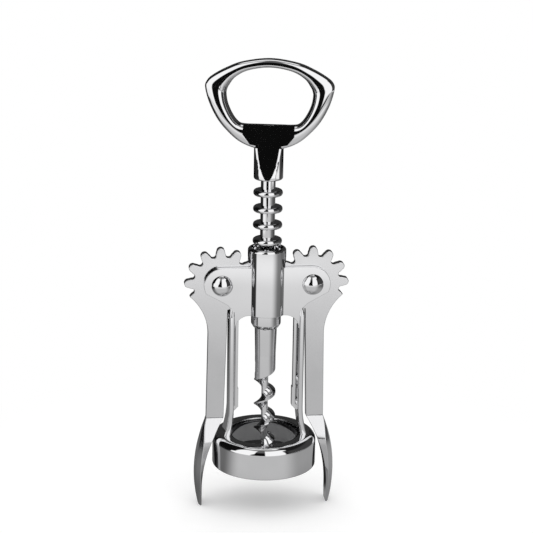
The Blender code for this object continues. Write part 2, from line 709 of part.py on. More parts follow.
def worm_section(z):
    """One section of the worm, turned so that its crest follows the right-hand helix."""
    crest = 2 * math.pi * (z - WORM_LEFT_EDGE_Z) / WORM_PITCH + math.pi
    angles = list(FLIGHT_ANGLES_DEG) + [-angle for angle in reversed(FLIGHT_ANGLES_DEG[1:-1])]
    taper = min(1.0, (z - WORM_TIP_Z) / (WORM_TAPER_Z - WORM_TIP_Z))
    points = []
    for angle_deg in angles:
        valley_z = z + WORM_PITCH * (angle_deg / 360 - math.copysign(0.5, angle_deg))
        limit = SHANK_RADIUS if z > WORM_LEFT_EDGE_Z + WORM_PITCH else WORM_RADIUS
        radius = min(limit, flight_radius(angle_deg) + groove_lift(valley_z))
        radius = WORM_TIP_RADIUS + (radius - WORM_TIP_RADIUS) * taper ** WORM_BLUNTNESS_SHARE
        turn = crest + math.radians(angle_deg)
        points.append((radius * math.cos(turn), radius * math.sin(turn), z))
    return points


def make_worm(metal, axis):
    shank_top_z = COLLAR_BOTTOM_Z - CLEARANCE
    rise = WORM_PITCH / WORM_ROWS_PER_TURN
    helix_top_z = GROOVE_END_Z + WORM_PITCH / 2
    rows = math.ceil((helix_top_z - WORM_TIP_Z) / rise)
    sections = [worm_section(WORM_TIP_Z + rise * row) for row in range(rows + 1)]
    top = sections[-1]
    tang_radius = SOCKET_RADIUS - CLEARANCE
    tang_top_z = COLLAR_BOTTOM_Z + SOCKET_DEPTH - CLEARANCE
    stages = ((SHANK_TOP_RADIUS, shank_top_z), (tang_radius, shank_top_z), (tang_radius, tang_top_z))
    for radius, z in stages:
        scale = radius / SHANK_RADIUS
        sections.append([(x * scale, y * scale, z) for x, y, _ in top])
    add_object("worm", skin(sections), metal, axis)


# Handle


def loop_section(outer, inner, half_depth):
    """A rounded band section between an outer and an inner point of the loop."""
    middle_x = (outer[0] + inner[0]) / 2
    middle_z = (outer[1] + inner[1]) / 2
    points = []
    for step in range(LOOP_SECTION_STEPS):
        angle = 2 * math.pi * step / LOOP_SECTION_STEPS
        across = math.cos(angle)
        points.append((
            middle_x + (outer[0] - middle_x) * across,
            half_depth * math.sin(angle),
            middle_z + (outer[1] - middle_z) * across,
        ))
    return points


def loop_body():
    """The handle's loop, swept round the opening as one closed ring."""
    mirrored = [(-row[0], row[1], -row[2], row[3]) for row in reversed(LOOP_SHARES[1:-1])]
    rows = smooth_through(list(LOOP_SHARES) + mirrored, LOOP_SUBSTEPS)
    body = bmesh.new()
    rings = []
    for outer_x, outer_z, inner_x, inner_z in rows:
        outer = (outer_x * HANDLE_HALF_WIDTH, HANDLE_TOP_Z - outer_z * LOOP_HEIGHT)
        inner = (inner_x * HANDLE_HALF_WIDTH, HANDLE_TOP_Z - inner_z * LOOP_HEIGHT)
        swell = min(1.0, outer_z / LOOP_SWELL_SHARE)
        half_depth = LOOP_TOP_HALF_DEPTH + (LOOP_HALF_DEPTH - LOOP_TOP_HALF_DEPTH) * swell
        rings.append([body.verts.new(point) for point in loop_section(outer, inner, half_depth)])
    for index, ring in enumerate(rings):
        after_ring = rings[(index + 1) % len(rings)]
        for step in range(LOOP_SECTION_STEPS):
            after = (step + 1) % LOOP_SECTION_STEPS
            body.faces.new((ring[step], ring[after], after_ring[after], after_ring[step]))
    return body


def recess_depth(z):
    """Distance of the slanted web face from the middle plane: thin at the lip, full at the foot."""
    share = (LIP_Z - z) / (LIP_Z - NECK_BOTTOM_Z)
    return LIP_HALF_THICKNESS + (NECK_RADIUS - LIP_HALF_THICKNESS) * share


def recess_cutter(side):
    """The scoop between the loop's arms that runs out down the neck, on one face."""
    half = NECK_RADIUS + OVERRUN / 2
    right = [
        (LIP_HALF_WIDTH, LIP_Z + OVERRUN),
        (RECESS_SIDE_X, LIP_Z - RECESS_SIDE_DROP),
        (half, NECK_TOP_Z + WAIST_RISE),
        (half, NECK_BOTTOM_Z),
    ]
    outline = right + mirror_x(right)
    near = [(x, side * recess_depth(z), z) for x, z in outline]
    far = [(x, side * (NECK_RADIUS + OVERRUN), z) for x, z in outline]
    return skin([near, far])


def turned_handle(body):
    """Turn a body of the handle about the screw's axis, as the screw came to rest."""
    turn = Matrix.Rotation(math.radians(HANDLE_TURN_DEG), 3, "Z")
    bmesh.ops.rotate(body, verts=body.verts, cent=(0, 0, 0), matrix=turn)
    return body


def make_handle(metal, axis):
    handle = add_object("handle", turned_handle(loop_body()), metal, axis)
    sunk_z = NECK_TOP_Z + NECK_SINK
    neck = [(0, sunk_z), (NECK_RADIUS, sunk_z)]
    neck += arc(NECK_RADIUS - NECK_ROUND, NECK_BOTTOM_Z + NECK_ROUND, NECK_ROUND, 0, -90, 3)
    neck.append((0, NECK_BOTTOM_Z))
    use_boolean(handle, [add_object("neck_form", revolve(neck, TURNED_STEPS))], "UNION")
    socket_top = NECK_BOTTOM_Z + TANG_LENGTH + CLEARANCE
    socket = cylinder_profile(SPINDLE_RADIUS + CLEARANCE, NECK_BOTTOM_Z - OVERRUN, socket_top)
    cutters = [
        add_object("front_recess_cutter", turned_handle(recess_cutter(-1))),
        add_object("back_recess_cutter", turned_handle(recess_cutter(1))),
        add_object("socket_cutter", revolve(socket, TURNED_STEPS)),
    ]
    use_boolean(handle, cutters, "DIFFERENCE")


def main():
    clear_scene()
    chrome = make_material("chrome_plate", (0.82, 0.82, 0.83), 0.07, 1.0)
    steel = make_material("worm_steel", (0.70, 0.70, 0.71), 0.18, 1.0)
    plastic = make_material("liner_plastic", (0.10, 0.10, 0.105), 0.45, 0.0)

    screw_axis = add_axis("screw_axis", Vector((0.0, 0.0, BARREL_TOP_Z)))
    lever_axes = {
        "left": add_axis("left_lever_axis", Vector((-PIVOT_X, 0.0, PIVOT_Z))),
        "right": add_axis("right_lever_axis", Vector((PIVOT_X, 0.0, PIVOT_Z))),
    }
    make_frame(chrome)
    make_liner(plastic)
    make_rivets(chrome)
    make_levers(chrome, lever_axes)
    make_rack(chrome, screw_axis)
    make_worm(steel, screw_axis)
    make_handle(chrome, screw_axis)


main()
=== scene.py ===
import math

import bmesh
import bpy
from mathutils import Matrix, Vector


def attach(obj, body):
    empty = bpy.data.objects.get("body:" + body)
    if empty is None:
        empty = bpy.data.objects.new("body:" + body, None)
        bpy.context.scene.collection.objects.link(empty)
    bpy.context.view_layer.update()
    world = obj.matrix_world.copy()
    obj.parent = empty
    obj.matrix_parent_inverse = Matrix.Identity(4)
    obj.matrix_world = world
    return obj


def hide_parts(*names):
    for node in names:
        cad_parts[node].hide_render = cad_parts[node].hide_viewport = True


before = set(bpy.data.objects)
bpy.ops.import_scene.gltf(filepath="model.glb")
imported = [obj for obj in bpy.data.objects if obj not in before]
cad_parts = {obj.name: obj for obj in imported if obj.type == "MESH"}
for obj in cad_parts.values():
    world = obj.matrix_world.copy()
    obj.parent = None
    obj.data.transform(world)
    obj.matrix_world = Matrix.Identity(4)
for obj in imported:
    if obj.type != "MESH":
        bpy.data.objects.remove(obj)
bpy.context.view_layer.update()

# The sizes are those of the CAD source, in metres, with finer curves here

CLEARANCE = 0.0003
RING_PITCH = 0.00655
RING_RADIUS = 0.00583
RING_ROOT = 0.0030
RING_RIM = 0.0024
RING_RIM_LENGTH = 0.00115
SPINDLE_RADIUS = 0.0029
COLLAR_RADIUS = 0.0060
TOOTH_SPACING = math.radians(29.0)
TOOTH_WIDTH = 0.0032
GEAR_PITCH_RADIUS = RING_PITCH / TOOTH_SPACING
TIP_RADIUS = GEAR_PITCH_RADIUS + 0.0018591
ROOT_RADIUS = GEAR_PITCH_RADIUS - 0.0018409
PIVOT_Z = 0.0940
PIVOT_X = SPINDLE_RADIUS + 0.00043 + TIP_RADIUS
TOOTH_PHASE = math.radians(4.52)
LOWEST_RING_Z = PIVOT_Z + GEAR_PITCH_RADIUS * TOOTH_PHASE - RING_PITCH * 1.5
TOP_RING_Z = LOWEST_RING_Z + RING_PITCH * 7
COLLAR_TOP_Z = LOWEST_RING_Z - RING_ROOT / 2 - 0.0015
COLLAR_BOTTOM_Z = COLLAR_TOP_Z - 0.0065
BELL_BOTTOM_Z = 0.0175
BELL_TOP_Z = 0.0308
BELL_MOUTH_RADIUS = 0.0145
BELL_CAVITY_RADIUS = 0.0182
BELL_RADIUS = 0.0211
BORE_RADIUS = 0.00635
BARREL_RADIUS = 0.00765
BARREL_TOP_Z = PIVOT_Z + 0.0148
BARREL_BOTTOM_Z = PIVOT_Z - 0.0126
FRAME_DEPTH = 0.0082
STRUT_OUTER_X = PIVOT_X - 0.00353
STRUT_INNER_X = STRUT_OUTER_X - 0.0018
FLANGE_OUTER_X = STRUT_OUTER_X + 0.00045
FLANGE_INNER_X = STRUT_INNER_X + 0.0002
LEVER_THICKNESS = 0.0032
KINK_Z = 0.0375
KINK_OUTER_X = 0.0240
KINK_INNER_X = 0.0169
RIVET_RADIUS = 0.0025
SHANK_RADIUS = 0.00418
WORM_RADIUS = 0.0044
WORM_CORE = 0.00135
WORM_PITCH = 0.0104
WORM_LEFT_Z = 0.0429
WORM_TAPER_Z = 0.0273
WORM_TIP_Z = 0.0218
GROOVE_FULL_Z = 0.0558
GROOVE_END_Z = 0.0589
NECK_BOTTOM_Z = TOP_RING_Z + 0.00536
NECK_TOP_Z = NECK_BOTTOM_Z + 0.0117
NECK_RADIUS = 0.0058
HALF_WIDTH = 0.0249
LOOP_HEIGHT = 0.0357
HANDLE_TOP_Z = NECK_TOP_Z + LOOP_HEIGHT
HANDLE_TURN = -11.0

LOOP_SHARES = (
    (0.000, 0.000, 0.000, 0.095),
    (0.425, 0.041, 0.330, 0.130),
    (0.685, 0.112, 0.535, 0.207),
    (0.895, 0.196, 0.632, 0.295),
    (0.988, 0.260, 0.666, 0.345),
    (1.000, 0.335, 0.674, 0.400),
    (0.932, 0.497, 0.645, 0.505),
    (0.805, 0.667, 0.562, 0.627),
    (0.643, 0.801, 0.466, 0.703),
    (0.458, 0.908, 0.360, 0.717),
    (0.240, 0.972, 0.190, 0.717),
    (0.000, 1.000, 0.000, 0.717),
)
LIP_Z = HANDLE_TOP_Z - LOOP_HEIGHT * LOOP_SHARES[-1][3]

# Height share, depth share, ridge share, inner edge's depth share, down the paddle
FOOT_SHARES = (
    (1.00, 0.352, 1.00, 1.00),
    (0.93, 0.46, 0.92, 1.00),
    (0.85, 0.66, 0.78, 0.97),
    (0.74, 0.94, 0.58, 0.90),
    (0.60, 1.00, 0.46, 0.80),
    (0.44, 1.00, 0.34, 0.72),
    (0.28, 0.98, 0.26, 0.70),
    (0.14, 0.90, 0.25, 0.70),
    (0.05, 0.77, 0.28, 0.74),
    (0.00, 0.63, 0.30, 0.90),
)
FOOT_DEPTH = 0.0108


# Forms


def arc(centre_x, centre_z, radius, start, end, count):
    return [
        (centre_x + radius * math.cos(math.radians(start + (end - start) * step / count)),
         centre_z + radius * math.sin(math.radians(start + (end - start) * step / count)))
        for step in range(count + 1)
    ]


def mirror_x(points):
    return [(-x, z) for x, z in reversed(points)]


def prism(outline, half_depth, edge=0.0, segments=3):
    """Extrude an XZ outline along Y and round its rims."""
    body = bmesh.new()
    front = [body.verts.new((x, -half_depth, z)) for x, z in outline]
    made = bmesh.ops.extrude_face_region(body, geom=[body.faces.new(front)])
    moved = [part for part in made["geom"] if isinstance(part, bmesh.types.BMVert)]
    bmesh.ops.translate(body, verts=moved, vec=(0.0, 2 * half_depth, 0.0))
    bmesh.ops.recalc_face_normals(body, faces=body.faces)
    if edge:
        rims = [line for line in body.edges if line.verts[0].co.y == line.verts[1].co.y]
        bmesh.ops.bevel(
            body, geom=rims, offset=edge, segments=segments, profile=0.5, affect="EDGES",
            clamp_overlap=True,
        )
    return body


def revolve(profile, steps, closed=False):
    """Turn a profile of (radius, z) points about the Z axis."""
    body = bmesh.new()
    line = [body.verts.new((radius, 0.0, z)) for radius, z in profile]
    pairs = list(zip(line[:-1], line[1:]))
    if closed:
        pairs.append((line[-1], line[0]))
    edges = [body.edges.new(pair) for pair in pairs]
    bmesh.ops.spin(
        body, geom=line + edges, cent=(0, 0, 0), axis=(0, 0, 1), angle=2 * math.pi, steps=steps,
        use_merge=True, use_duplicate=False,
    )
    bmesh.ops.remove_doubles(body, verts=body.verts, dist=0.000003)
    return body


def turn_to_y(body, centre_x, centre_z):
    for vert in body.verts:
        x, y, z = vert.co
        vert.co = Vector((centre_x + x, z, centre_z - y))
    return body


def skin(sections, ring=False):
    """Join closed sections of equal length, with flat ends or as one closed ring."""
    body = bmesh.new()
    rings = [[body.verts.new(point) for point in section] for section in sections]
    count = len(rings[0])
    pairs = list(zip(rings[:-1], rings[1:]))
    if ring:
        pairs.append((rings[-1], rings[0]))
    for lower, upper in pairs:
        for index in range(count):
            after = (index + 1) % count
            body.faces.new((lower[index], lower[after], upper[after], upper[index]))
    if not ring:
        body.faces.new(rings[0])
        body.faces.new(rings[-1])
    return body


def join(first, *others):
    """Add the other bodies' faces to the first body."""
    for other in others:
        mesh = bpy.data.meshes.new("joined")
        other.to_mesh(mesh)
        other.free()
        first.from_mesh(mesh)
        bpy.data.meshes.remove(mesh)
    return first


def smooth_through(points, substeps, closed=True):
    """Points of a Catmull-Rom curve through a list of tuples."""
    count = len(points)
    last = count if closed else count - 1
    result = []
    for index in range(last):
        if closed:
            before, start, end, after = (points[(index + shift) % count] for shift in (-1, 0, 1, 2))
        else:
            before, start, end, after = (
                points[min(count - 1, max(0, index + shift))] for shift in (-1, 0, 1, 2)
            )
        for step in range(substeps):
            t = step / substeps
            result.append(tuple(
                0.5 * (2 * b + (c - a) * t + (2 * a - 5 * b + 4 * c - d) * t ** 2
                       + (3 * b - a - 3 * c + d) * t ** 3)
                for a, b, c, d in zip(before, start, end, after)
            ))
    if not closed:
        result.append(tuple(points[-1]))
    return result


def round_corners(points, radius, steps):
    """Replace each corner of a closed polygon by a short curve."""
    count = len(points)
    result = []
    for index, corner in enumerate(points):
        corner = Vector(corner)
        before = Vector(points[index - 1])
        after = Vector(points[(index + 1) % count])
        back = before - corner
        ahead = after - corner
        start = corner + back.normalized() * min(radius, back.length * 0.45)
        end = corner + ahead.normalized() * min(radius, ahead.length * 0.45)
        for step in range(steps + 1):
            t = step / steps
            result.append((1 - t) ** 2 * start + 2 * t * (1 - t) * corner + t ** 2 * end)
    return result


def plain_object(name, body):
    bmesh.ops.recalc_face_normals(body, faces=body.faces)
    mesh = bpy.data.meshes.new(name)
    body.to_mesh(mesh)
    body.free()
    item = bpy.data.objects.new(name, mesh)
    bpy.context.scene.collection.objects.link(item)
    return item


def carve(target, bodies, operation):
    """Join or cut several forms in one step and keep the result as the target's mesh."""
    group = bpy.data.collections.new(target.name + "_" + operation.lower())
    helpers = [plain_object(target.name + "_form", body) for body in bodies]
    for helper in helpers:
        group.objects.link(helper)
    modifier = target.modifiers.new("carve", "BOOLEAN")
    modifier.operation = operation
    modifier.solver = "EXACT"
    modifier.operand_type = "COLLECTION"
    modifier.collection = group
    bpy.context.view_layer.update()
    graph = bpy.context.evaluated_depsgraph_get()
    made = bpy.data.meshes.new_from_object(target.evaluated_get(graph))
    target.modifiers.clear()
    old = target.data
    target.data = made
    bpy.data.meshes.remove(old)
    for helper in helpers:
        mesh = helper.data
        bpy.data.objects.remove(helper)
        bpy.data.meshes.remove(mesh)
    bpy.data.collections.remove(group)


def piece(name, body, material, ride_on, node, forms=(), cutters=(), angle=32.0):
    """Make a finished piece that stands for a CAD node and rides with its body."""
    item = plain_object(name, body)
    if forms:
        carve(item, forms, "UNION")
    if cutters:
        carve(item, cutters, "DIFFERENCE")
    item.data.materials.clear()
    item.data.materials.append(material)
    item.data.shade_smooth()
    item.data.set_sharp_from_angle(angle=math.radians(angle))
    weighted = item.modifiers.new("normals", "WEIGHTED_NORMAL")
    weighted.weight = 80
    weighted.keep_sharp = True
    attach(item, ride_on)
    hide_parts(node)
    return item


# Materials


class Nodes:
    """Short words for building a node tree."""

    def __init__(self, owner):
        owner.use_nodes = True
        self.tree = owner.node_tree
        self.tree.nodes.clear()

    def add(self, kind, inputs=None, **settings):
        made = self.tree.nodes.new(kind)
        for key, value in settings.items():
            setattr(made, key, value)
        for key, value in (inputs or {}).items():
            if isinstance(value, bpy.types.NodeSocket):
                self.tree.links.new(value, made.inputs[key])
            else:
                made.inputs[key].default_value = value
        return made

    def math(self, operation, *values):
        return self.add("ShaderNodeMath", dict(enumerate(values)), operation=operation).outputs[0]

    def step(self, value, low, high, start=0.0, end=1.0):
        """A smooth change from start to end while the value goes from low to high."""
        made = self.add("ShaderNodeMapRange", interpolation_type="SMOOTHSTEP")
        self.tree.links.new(value, made.inputs[0])
        for index, number in zip((1, 2, 3, 4), (low, high, start, end)):
            made.inputs[index].default_value = number
        return made.outputs[0]

    def window(self, value, low, high, soft):
        rise = self.step(value, low - soft, low + soft)
        fall = self.step(value, high - soft, high + soft, 1.0, 0.0)
        return self.math("MULTIPLY", rise, fall)


def metal(name, colour, roughness, spread, grain, relief):
    """Plated metal: a slightly uneven gloss with fine polishing marks."""
    material = bpy.data.materials.new(name)
    make = Nodes(material)
    place = make.add("ShaderNodeTexCoord").outputs["Object"]
    stretched = make.add("ShaderNodeMapping", {"Vector": place, "Scale": (1.0, 1.0, grain)}).outputs[0]
    cloud = make.add("ShaderNodeTexNoise", {"Vector": place, "Scale": 90.0, "Detail": 3.0})
    marks = make.add("ShaderNodeTexNoise", {"Vector": stretched, "Scale": 2200.0, "Detail": 2.0})
    rough = make.step(cloud.outputs[0], 0.3, 0.7, roughness - spread, roughness + spread)
    tone = make.add("ShaderNodeMix", data_type="RGBA")
    make.tree.links.new(make.step(cloud.outputs[0], 0.3, 0.7), tone.inputs[0])
    tone.inputs[6].default_value = (*[c * 0.97 for c in colour], 1.0)
    tone.inputs[7].default_value = (*colour, 1.0)
    bump = make.add("ShaderNodeBump", {"Height": marks.outputs[0], "Strength": relief, "Distance": 0.00002})
    shader = make.add("ShaderNodeBsdfPrincipled", {
        "Base Color": tone.outputs[2], "Metallic": 1.0, "Roughness": rough, "Normal": bump.outputs[0],
    })
    out = make.add("ShaderNodeOutputMaterial")
    make.tree.links.new(shader.outputs[0], out.inputs["Surface"])
    return material


def plastic(name):
    """Black moulded plastic with a fine grain, black at its top and foot, with a grey ring painted between as the
    reflection of the shaded floor.
    """
    material = bpy.data.materials.new(name)
    make = Nodes(material)
    place = make.add("ShaderNodeTexCoord").outputs["Object"]
    across, _, height = make.add("ShaderNodeSeparateXYZ", {0: place}).outputs
    # Upper edge of the painted reflection: height, bowed down aside
    rim = make.math("ADD", height, make.math("MULTIPLY", make.math("MULTIPLY", across, across), 12.0))
    grain = make.add("ShaderNodeTexNoise", {"Vector": place, "Scale": 1600.0, "Detail": 3.0})
    cloud = make.add("ShaderNodeTexNoise", {"Vector": place, "Scale": 120.0, "Detail": 2.0})
    # Painted reflection: a grey ring where the black liner mirrors the shaded floor under the bell, black above and
    # below it
    floor_reflection_band = make.math("MULTIPLY", make.step(height, 0.0204, 0.0208), make.step(rim, 0.0293, 0.0297, 1.0, 0.0))
    tone = make.add("ShaderNodeMix", data_type="RGBA")
    make.tree.links.new(make.step(cloud.outputs[0], 0.3, 0.7), tone.inputs[0])
    tone.inputs[6].default_value = (0.235, 0.235, 0.24, 1.0)
    tone.inputs[7].default_value = (0.27, 0.27, 0.275, 1.0)
    paint = make.add("ShaderNodeMix", data_type="RGBA")
    make.tree.links.new(floor_reflection_band, paint.inputs[0])
    paint.inputs[6].default_value = (0.008, 0.008, 0.009, 1.0)
    make.tree.links.new(tone.outputs[2], paint.inputs[7])
    rough = make.math("MULTIPLY", make.step(cloud.outputs[0], 0.3, 0.7, 0.38, 0.5), make.step(floor_reflection_band, 0, 1, 0.4, 1.0))
    bump = make.add("ShaderNodeBump", {"Height": grain.outputs[0], "Strength": 0.15, "Distance": 0.00005})
    shader = make.add("ShaderNodeBsdfPrincipled", {
        "Base Color": paint.outputs[2], "Roughness": rough, "Normal": bump.outputs[0],
    })
    out = make.add("ShaderNodeOutputMaterial")
    make.tree.links.new(shader.outputs[0], out.inputs["Surface"])
    return material


# Frame


def bell_profile():
    roof_z = BELL_TOP_Z - 0.0035
    profile = [(BELL_CAVITY_RADIUS, BELL_BOTTOM_Z + 0.0003), (BELL_CAVITY_RADIUS + 0.0003, BELL_BOTTOM_Z)]
    profile += arc(BELL_RADIUS - 0.0006, BELL_BOTTOM_Z + 0.0006, 0.0006, -90, 0, 5)
    profile += arc(BELL_RADIUS - 0.0032, BELL_TOP_Z - 0.0032, 0.0032, 0, 90, 18)
    profile += arc(BELL_MOUTH_RADIUS + 0.0004, BELL_TOP_Z - 0.0004, 0.0004, 90, 180, 6)
    return profile + [(BELL_MOUTH_RADIUS, roof_z), (BELL_CAVITY_RADIUS, roof_z)]


def strut_curve(x, foot_x):
    bend_z = BELL_TOP_Z + 0.0120
    drop = bend_z - (BELL_TOP_Z - 0.0012)
    return [(x + (foot_x - x) * (step / 14) ** 2, bend_z - drop * step / 14) for step in range(15)]


def strut_body(side):
    """A strut's flange with round edges, deeper than the ears, down to its foot on the bell."""
    outer_line = strut_curve(FLANGE_OUTER_X, BELL_MOUTH_RADIUS + 0.0029)
    inner_line = strut_curve(FLANGE_INNER_X, BELL_MOUTH_RADIUS)
    levels = [
        (FLANGE_INNER_X, FLANGE_OUTER_X - 0.0004, PIVOT_Z - 0.0096, 0.0035),
        (FLANGE_INNER_X, FLANGE_OUTER_X, PIVOT_Z - 0.0130, 0.0056),
    ]
    levels += [(inner, outer, z, 0.0056) for (outer, z), (inner, _) in zip(outer_line, inner_line)]
    sections = []
    for inner, outer, z, half in levels:
        ring = [(side * x, y, z) for x, y in ((inner, -half), (outer, -half), (outer, half), (inner, half))]
        sections.append(round_corners(ring, 0.00095, 6))
    return skin(sections)


def strut_fillet(side, front):
    """The sloping corner between a strut's flange and its rib."""
    edge = FLANGE_INNER_X
    across = [(edge + 0.0004, 0.0012), (edge + 0.0004, 0.0033), (edge - 0.0010, 0.0012)]
    return skin([
        [(side * x, front * y, z) for x, y in across]
        for z in (BELL_TOP_Z + 0.0118, BARREL_BOTTOM_Z - 0.0045)
    ])


def arms_outline():
    arc_z = BARREL_BOTTOM_Z - 0.0055
    shoulder_x = PIVOT_X - 0.0019
    shoulder_z = PIVOT_Z - 0.0078
    lap_x = STRUT_OUTER_X - 0.0004
    right = arc(PIVOT_X, PIVOT_Z, 0.0071, 90, -27, 36)
    right += [(shoulder_x, shoulder_z), (lap_x, shoulder_z - (shoulder_x - lap_x)), (lap_x, arc_z - 0.0018)]
    right += [(STRUT_INNER_X + 0.0004, arc_z - 0.0018), (STRUT_INNER_X + 0.0004, arc_z)]
    right += arc(STRUT_INNER_X - 0.0055, arc_z, 0.0055, 0, 90, 18)
    return right + mirror_x(right)


def rib_outline(side):
    outer = STRUT_OUTER_X - 0.0009
    inner = STRUT_INNER_X - 0.0019
    low = BELL_TOP_Z + 0.0093
    step_z = BELL_TOP_Z + 0.0193
    points = [(inner + 0.0003, BARREL_BOTTOM_Z), (inner + 0.0003, step_z), (inner, step_z - 0.0003)]
    points += [(inner, low + 0.0019), (inner + 0.0019, low)]
    points += [(outer, low), (outer, BARREL_BOTTOM_Z)]
    return [(side * x, z) for x, z in points]


def cylinder(radius, low, high, steps):
    return revolve([(0, low), (radius, low), (radius, high), (0, high)], steps)


def make_frame(material):
    barrel = [(0, BARREL_BOTTOM_Z)]
    barrel += arc(BARREL_RADIUS - 0.0002, BARREL_BOTTOM_Z + 0.0002, 0.0002, -90, 0, 3)
    barrel += arc(BARREL_RADIUS - 0.0012, BARREL_TOP_Z - 0.0012, 0.0012, 0, 90, 10)
    barrel.append((0, BARREL_TOP_Z))
    forms = [prism(arms_outline(), FRAME_DEPTH / 2, 0.0008, 4), revolve(barrel, 120)]
    cutters = [cylinder(BORE_RADIUS, BARREL_BOTTOM_Z - 0.002, BARREL_TOP_Z + 0.002, 96)]
    pocket_half = LEVER_THICKNESS / 2 + 0.0003
    for side in (-1, 1):
        forms.append(prism(rib_outline(side), 0.0015, 0.0002, 2))
        forms.append(strut_body(side))
        forms += [strut_fillet(side, -1), strut_fillet(side, 1)]
        pocket = cylinder(TIP_RADIUS + 0.0004, -pocket_half, pocket_half, 120)
        cutters.append(turn_to_y(pocket, side * PIVOT_X, PIVOT_Z))
        hole = cylinder(RIVET_RADIUS + CLEARANCE, -0.0061, 0.0061, 48)
        cutters.append(turn_to_y(hole, side * PIVOT_X, PIVOT_Z))
    piece("frame_casting", revolve(bell_profile(), 160, closed=True), material,
          "frame", "frame", forms, cutters)


def make_liner(material):
    roof_z = BELL_TOP_Z - 0.0035 - CLEARANCE
    top_z = BELL_TOP_Z - 0.0009
    stop_z = BELL_BOTTOM_Z + 0.0058
    profile = [
        (0.0134, stop_z), (0.0156, stop_z), (0.0156, BELL_BOTTOM_Z + 0.0011),
        (0.0164, BELL_BOTTOM_Z + CLEARANCE), (0.0179, BELL_BOTTOM_Z + CLEARANCE),
        (0.0179, roof_z), (0.0142, roof_z),
    ]
    profile += arc(0.0138, top_z - 0.0004, 0.0004, 0, 90, 5)
    profile.append((0.0134, top_z))
    piece("liner_ring", revolve(profile, 120, closed=True), material,
          "frame", "bell_liner")


def make_rivets(material):
    seat = FRAME_DEPTH / 2 + CLEARANCE
    dome = (0.0042 ** 2 + 0.0022 ** 2) / (2 * 0.0022)
    reach = math.degrees(math.asin(0.0042 / dome))
    crown = arc(0.0, seat + 0.0022 - dome, dome, 90, 90 - reach, 14)
    crown[0] = (0.0, crown[0][1])
    half = crown + [(0.0041, seat), (RIVET_RADIUS, seat)]
    profile = half + [(radius, -z) for radius, z in reversed(half)]
    for side, label in ((-1, "left"), (1, "right")):
        body = turn_to_y(revolve(profile, 64), side * PIVOT_X, PIVOT_Z)
        piece(label + "_pin", body, material, "frame", label + "_rivet")


# Rack, worm and handle


def ring_profile(centre_z):
    rim_start = RING_RADIUS - RING_RIM_LENGTH
    points = [(SPINDLE_RADIUS, centre_z + RING_ROOT / 2)]
    for step in range(19):
        angle = math.radians(90 - 10 * step)
        reach = abs(math.cos(angle)) ** 0.86
        rise = math.copysign(abs(math.sin(angle)) ** 0.86, math.sin(angle))
        points.append((rim_start + RING_RIM_LENGTH * reach, centre_z + RING_RIM / 2 * rise))
    points.append((SPINDLE_RADIUS, centre_z - RING_ROOT / 2))
    return points


def make_rack(material):
    top = NECK_BOTTOM_Z + 0.0080
    profile = [(0, top), (SPINDLE_RADIUS, top)]
    for index in range(8):
        profile += ring_profile(TOP_RING_Z - RING_PITCH * index)
    profile.append((SPINDLE_RADIUS, COLLAR_TOP_Z))
    profile += arc(COLLAR_RADIUS - 0.0003, COLLAR_TOP_Z - 0.0003, 0.0003, 90, 0, 4)
    profile += [(COLLAR_RADIUS, COLLAR_BOTTOM_Z + 0.0017), (COLLAR_RADIUS - 0.0001, COLLAR_BOTTOM_Z + 0.0014)]
    profile += [(0.0051, COLLAR_BOTTOM_Z + 0.0001), (0.0050, COLLAR_BOTTOM_Z)]
    profile += [(0.0024, COLLAR_BOTTOM_Z), (0.0024, COLLAR_BOTTOM_Z + 0.005), (0, COLLAR_BOTTOM_Z + 0.005)]
    piece("ring_rack", revolve(profile, 96), material, "rack", "rack_spindle")


def worm_section(z, steps):
    crest = 2 * math.pi * (z - WORM_LEFT_Z) / WORM_PITCH + math.pi
    taper = min(1.0, (z - WORM_TIP_Z) / (WORM_TAPER_Z - WORM_TIP_Z))
    limit = SHANK_RADIUS if z > WORM_LEFT_Z + WORM_PITCH else WORM_RADIUS
    points = []
    for step in range(steps):
        angle = 360.0 * step / steps
        if angle > 180:
            angle -= 360
        valley_z = z + WORM_PITCH * (angle / 360 - math.copysign(0.5, angle))
        share = min(1.0, max(0.0, 1.0 - (abs(angle) - 10.0) / 110.0))
        lift = (valley_z - GROOVE_FULL_Z) / (GROOVE_END_Z - GROOVE_FULL_Z)
        lift = (WORM_RADIUS - WORM_CORE) * min(1.0, max(0.0, lift))
        radius = min(limit, WORM_CORE + (WORM_RADIUS - WORM_CORE) * share ** 2 + lift)
        radius = 0.00025 + (radius - 0.00025) * taper ** 0.75
        turn = crest + math.radians(angle)
        points.append((radius * math.cos(turn), radius * math.sin(turn), z))
    return points


def make_worm(material):
    shank_top = COLLAR_BOTTOM_Z - CLEARANCE
    helix_top = GROOVE_END_Z + WORM_PITCH / 2
    rows = math.ceil((helix_top - WORM_TIP_Z) / (WORM_PITCH / 48))
    sections = [worm_section(WORM_TIP_Z + WORM_PITCH / 48 * row, 72) for row in range(rows + 1)]
    top = sections[-1]
    stages = ((0.00448, shank_top - 0.0001), (0.0044, shank_top), (0.0021, shank_top),
              (0.0021, COLLAR_BOTTOM_Z + 0.0047))
    for radius, z in stages:
        sections.append([(x * radius / SHANK_RADIUS, y * radius / SHANK_RADIUS, z) for x, y, _ in top])
    piece("screw_worm", skin(sections), material, "screw", "worm", angle=45.0)


